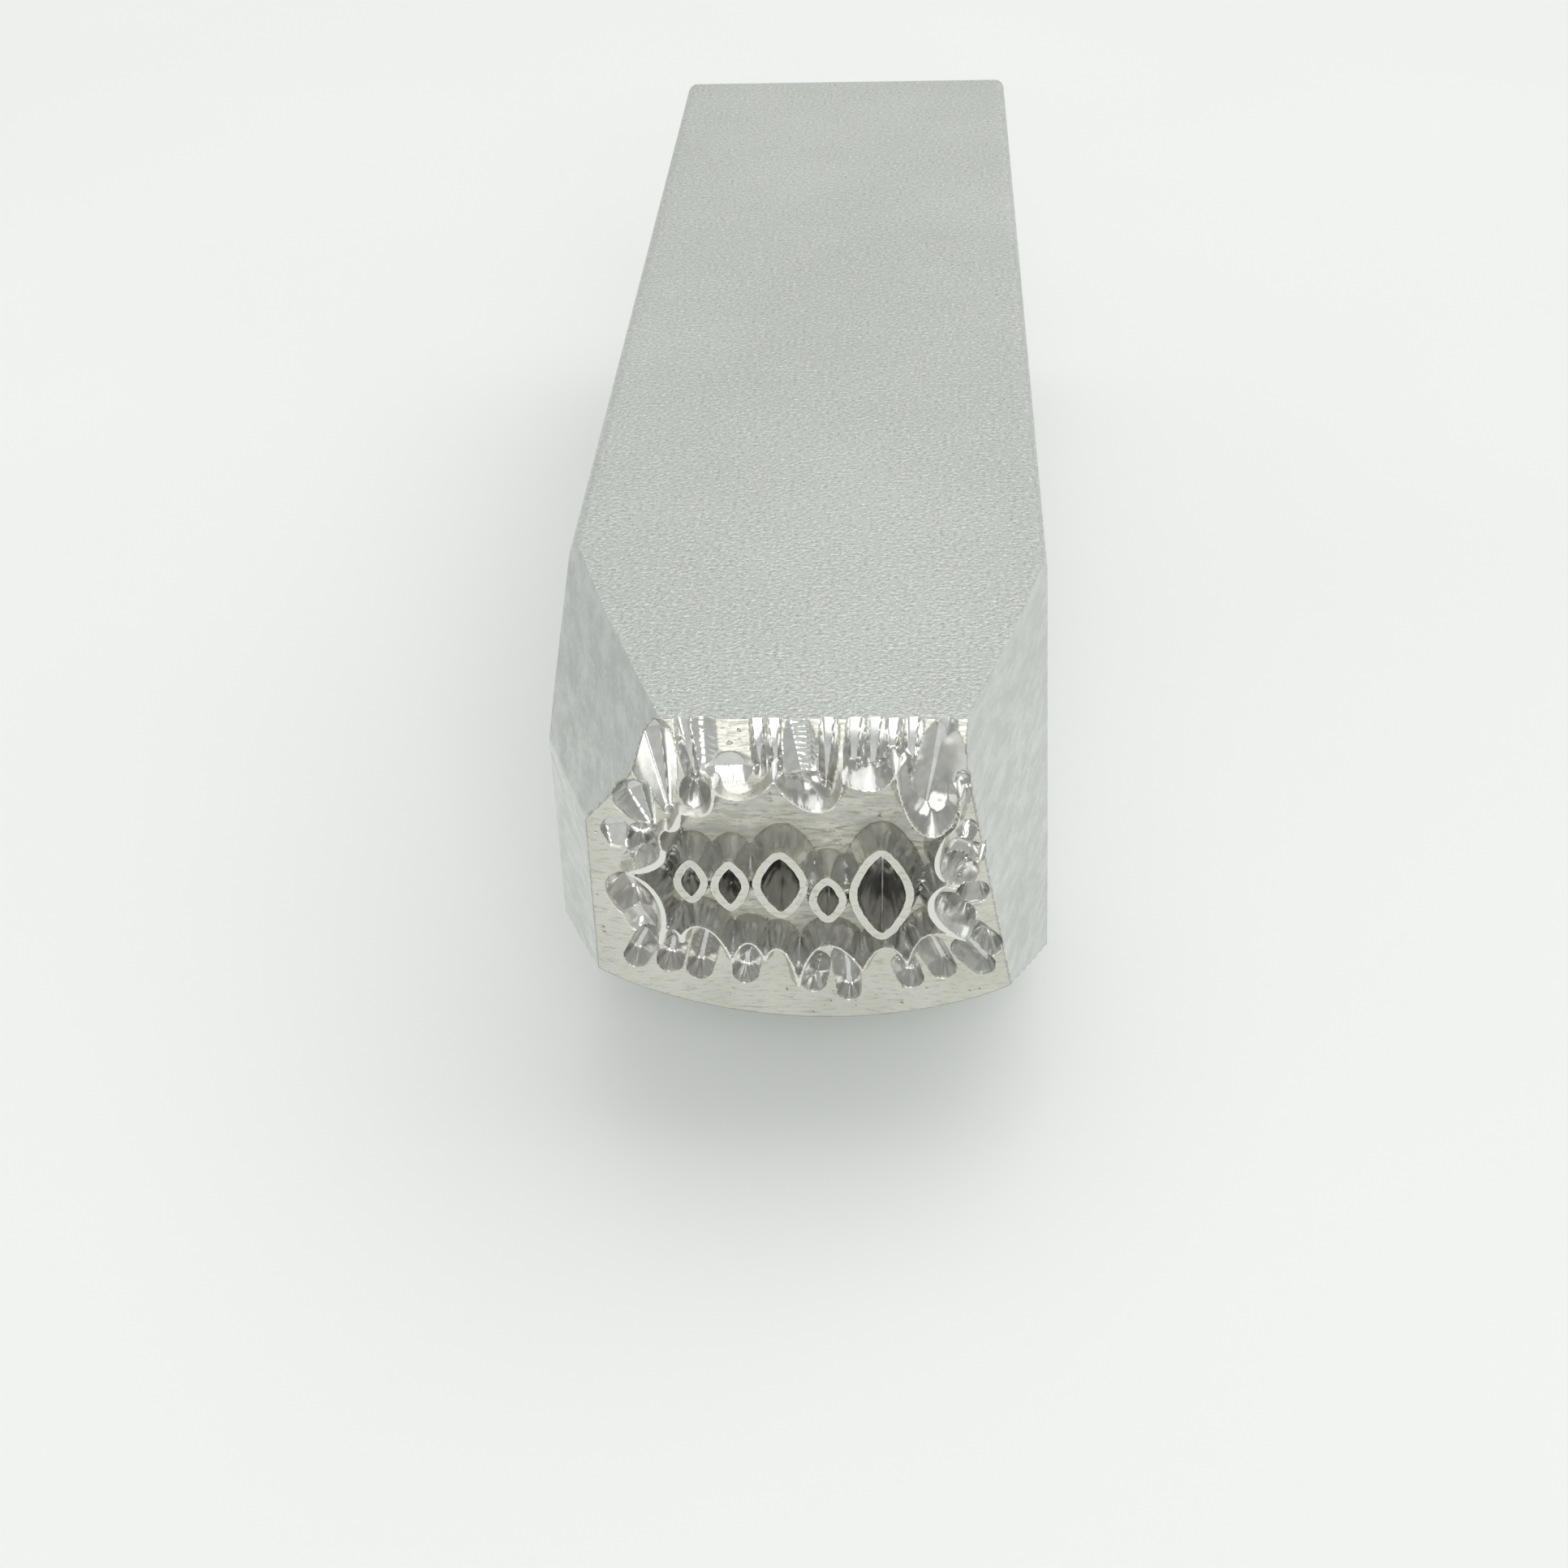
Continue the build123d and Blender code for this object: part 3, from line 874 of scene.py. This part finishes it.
def paper():
    """Plain pale floor."""
    n = Nodes("paper")
    cloud = n.noise(0.02, 2.0)
    color = n.mix(n.range(cloud, 0.3, 0.7, 0, 1), (0.88, 0.89, 0.875, 1), (0.90, 0.91, 0.895, 1))
    grain = n.noise(3.0, 3.0)
    n.shader.inputs["Specular IOR Level"].default_value = 0.0
    return n.finish(color, n.range(grain, 0.3, 0.7, 0.8, 0.9), n.bump(grain, 0.01 * MM, 0.3), 0.0)


# ---------------------------------------------------------------- stage

FLOOR_SIZE = 900
WORLD_COLOR = (0.975, 1.0, 0.985, 1)
WORLD_STRENGTH = 0.62
# Lamps: name, place, target, width and power in watts
LAMPS = [
    ("key", (325, 175, 800), (0, 0, 0), 900, 2.0),
    ("front", (110, -800, 460), (0, -20, 0), 480, 2.4),
    ("fill", (-150, 150, 825), (0, 0, 0), 500, 0.62),
]
# Camera: place, and its pitch down, yaw and roll in degrees, and its focal length
CAMERA_PLACE = (3.0313, -73.3539, 42.6706)
CAMERA_ANGLES = (32.98476, -3.80745, 2.02208)
CAMERA_LENS = 56.123


def build_floor():
    size = FLOOR_SIZE * MM
    mesh = bpy.data.meshes.new("floor")
    mesh.from_pydata(
        [(-size, -size, 0), (size, -size, 0), (size, size, 0), (-size, size, 0)], [],
        [(0, 1, 2, 3)],
    )
    floor = bpy.data.objects.new("floor", mesh)
    floor.location.z = -0.01 * MM
    bpy.context.scene.collection.objects.link(floor)
    mesh.materials.append(paper())


def build_lights():
    world = bpy.data.worlds.new("studio")
    bpy.context.scene.world = world
    world.use_nodes = True
    background = world.node_tree.nodes["Background"]
    background.inputs["Color"].default_value = WORLD_COLOR
    background.inputs["Strength"].default_value = WORLD_STRENGTH
    for name, place, target, size, energy in LAMPS:
        lamp = bpy.data.lights.new(name, "AREA")
        lamp.shape = "RECTANGLE"
        lamp.size = lamp.size_y = size * MM
        lamp.energy = energy
        light = bpy.data.objects.new(name, lamp)
        light.location = [c * MM for c in place]
        aim = Vector(target) - Vector(place)
        light.rotation_euler = aim.to_track_quat("-Z", "Y").to_euler()
        bpy.context.scene.collection.objects.link(light)


def build_camera():
    """Camera at the height, distance and angle that the tool was looked at from."""
    place = Vector(CAMERA_PLACE) * MM
    pitch, yaw, roll = (math.radians(a) for a in CAMERA_ANGLES)
    forward = Vector((
        math.sin(yaw) * math.cos(pitch), math.cos(yaw) * math.cos(pitch), -math.sin(pitch)
    ))
    level = Vector((math.cos(yaw), -math.sin(yaw), 0))
    down = forward.cross(level)
    right = math.cos(roll) * level + math.sin(roll) * down
    up = math.sin(roll) * level - math.cos(roll) * down
    data = bpy.data.cameras.new("camera")
    data.lens = CAMERA_LENS
    data.clip_start = 1 * MM
    data.clip_end = 10.0
    camera = bpy.data.objects.new("camera", data)
    turn = Matrix((right, up, -forward)).transposed().to_4x4()
    camera.matrix_world = Matrix.Translation(place) @ turn
    bpy.context.scene.collection.objects.link(camera)
    bpy.context.scene.camera = camera


stamp = build_stamp()
for material in (cut_steel(), ground_steel(), blasted_steel(), struck_steel()):
    stamp.data.materials.append(material)
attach(stamp, "root")
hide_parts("stamp")

build_floor()
build_lights()
build_camera()
bpy.context.scene.view_settings.view_transform = "Standard"
